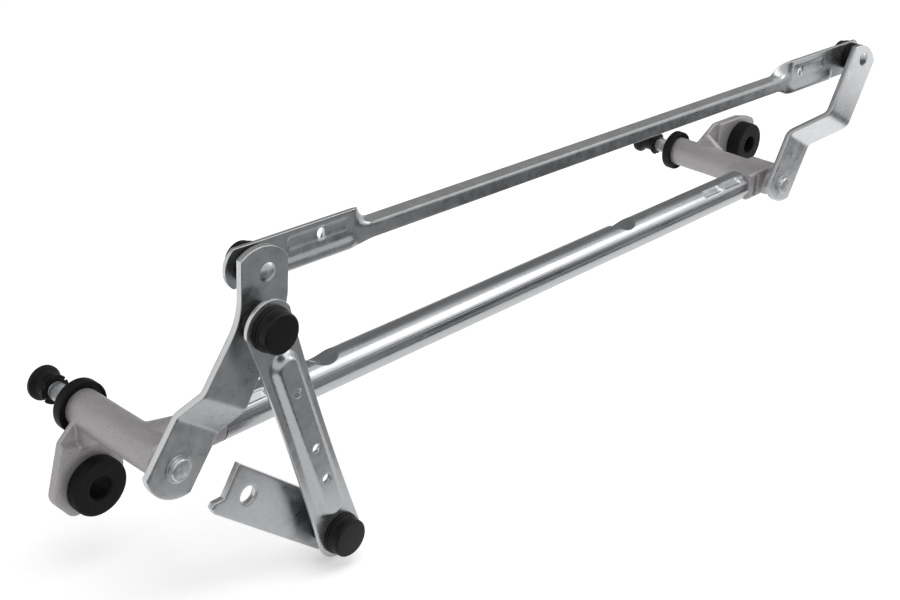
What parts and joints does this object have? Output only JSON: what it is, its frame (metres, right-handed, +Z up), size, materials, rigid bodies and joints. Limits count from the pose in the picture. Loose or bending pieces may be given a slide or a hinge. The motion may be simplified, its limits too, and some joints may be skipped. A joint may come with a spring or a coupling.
{
  "type": "wiper linkage",
  "caption": "Windscreen wiper linkage: two spindles in housings on a cross tube, cranks joined by a long link, and a drive link with a motor crank.",
  "frame": {"origin": "centre of the left grommet's bore, at the grommet's front face on the crank side", "axes": "+X from the left spindle to the right one along the cross tube, +Y along both spindles towards the wiper arms, +Z up, as the cranks stand"},
  "size_m": [0.6929, 0.1809, 0.1974],
  "materials": {
    "cast_aluminium": "die-cast, matte, lightly blasted",
    "tube_steel": "zinc plated, glossy with lengthwise drawing marks",
    "crank_steel": "zinc plated stamping, satin with fine speckle",
    "link_steel": "zinc plated pressed sheet, satin",
    "spindle_steel": "turned steel, zinc plated",
    "stud_steel": "cold-headed steel, zinc plated",
    "washer_steel": "plain steel",
    "circlip_steel": "phosphated spring steel",
    "bush_bronze": "sintered bronze, oiled",
    "grommet_rubber": "moulded rubber, matte",
    "seal_rubber": "moulded rubber, matte",
    "cap_plastic": "moulded plastic, satin",
    "socket_plastic": "moulded plastic, satin"
  },
  "bodies": {
    "frame": {"left_housing": "cast_aluminium", "right_housing": "cast_aluminium", "cross_tube": "tube_steel", "left_grommet": "grommet_rubber", "right_grommet": "grommet_rubber", "left_seal_collar": "seal_rubber", "right_seal_collar": "seal_rubber", "left_front_bush": "bush_bronze", "left_rear_bush": "bush_bronze", "right_front_bush": "bush_bronze", "right_rear_bush": "bush_bronze"},
    "left_crank_arm": {"left_spindle": "spindle_steel", "left_crank": "crank_steel", "left_link_ball_stud": "stud_steel", "drive_ball_stud": "stud_steel", "left_thrust_washer": "washer_steel", "left_end_washer": "washer_steel", "left_circlip": "circlip_steel"},
    "right_crank_arm": {"right_spindle": "spindle_steel", "right_crank": "crank_steel", "right_link_ball_stud": "stud_steel", "right_thrust_washer": "washer_steel", "right_end_washer": "washer_steel", "right_circlip": "circlip_steel"},
    "long_link_bar": {"long_link": "link_steel", "left_link_socket": "socket_plastic", "right_link_socket": "socket_plastic", "left_link_socket_cap": "cap_plastic", "right_link_socket_cap": "cap_plastic"},
    "drive_link_bar": {"drive_link": "link_steel", "upper_drive_socket": "socket_plastic", "lower_drive_socket": "socket_plastic", "upper_drive_socket_cap": "cap_plastic", "lower_drive_socket_cap": "cap_plastic"},
    "motor_crank_arm": {"motor_crank": "crank_steel", "motor_ball_stud": "stud_steel"},
    "left_cap": {"left_spindle_cap": "cap_plastic"},
    "right_cap": {"right_spindle_cap": "cap_plastic"}
  },
  "joints": [
    {"name": "left_spindle_turn", "type": "hinge", "parent": "frame", "child": "left_crank_arm", "pos_m": [0.003, -0.064, 0.041], "axis": [0, 1, 0], "range_deg": [-87, 5]},
    {"name": "right_spindle_turn", "type": "hinge", "parent": "frame", "child": "right_crank_arm", "pos_m": [0.593, -0.05, 0.041], "axis": [0, 1, 0], "range_deg": [-87, 5]},
    {"name": "long_link_turn", "type": "hinge", "parent": "left_crank_arm", "child": "long_link_bar", "pos_m": [0.05192, -0.062, 0.13785], "axis": [0, 1, 0], "range_deg": [-5, 87]},
    {"name": "drive_link_turn", "type": "hinge", "parent": "left_crank_arm", "child": "drive_link_bar", "pos_m": [0.04363, -0.083, 0.11429], "axis": [0, 1, 0], "range_deg": [-60, 60]},
    {"name": "motor_crank_turn", "type": "hinge", "parent": "drive_link_bar", "child": "motor_crank_arm", "pos_m": [0.09445, -0.083, -0.02843], "axis": [0, 1, 0], "continuous": true},
    {"name": "left_cap_pull", "type": "slide", "parent": "left_crank_arm", "child": "left_cap", "axis": [0, 1, 0], "range_m": [0, 0.03]},
    {"name": "right_cap_pull", "type": "slide", "parent": "right_crank_arm", "child": "right_cap", "axis": [0, 1, 0], "range_m": [0, 0.03]}
  ],
  "couplings": [
    {"joint": "right_spindle_turn", "follows": "left_spindle_turn", "ratio": 1},
    {"joint": "long_link_turn", "follows": "left_spindle_turn", "ratio": -1}
  ]
}
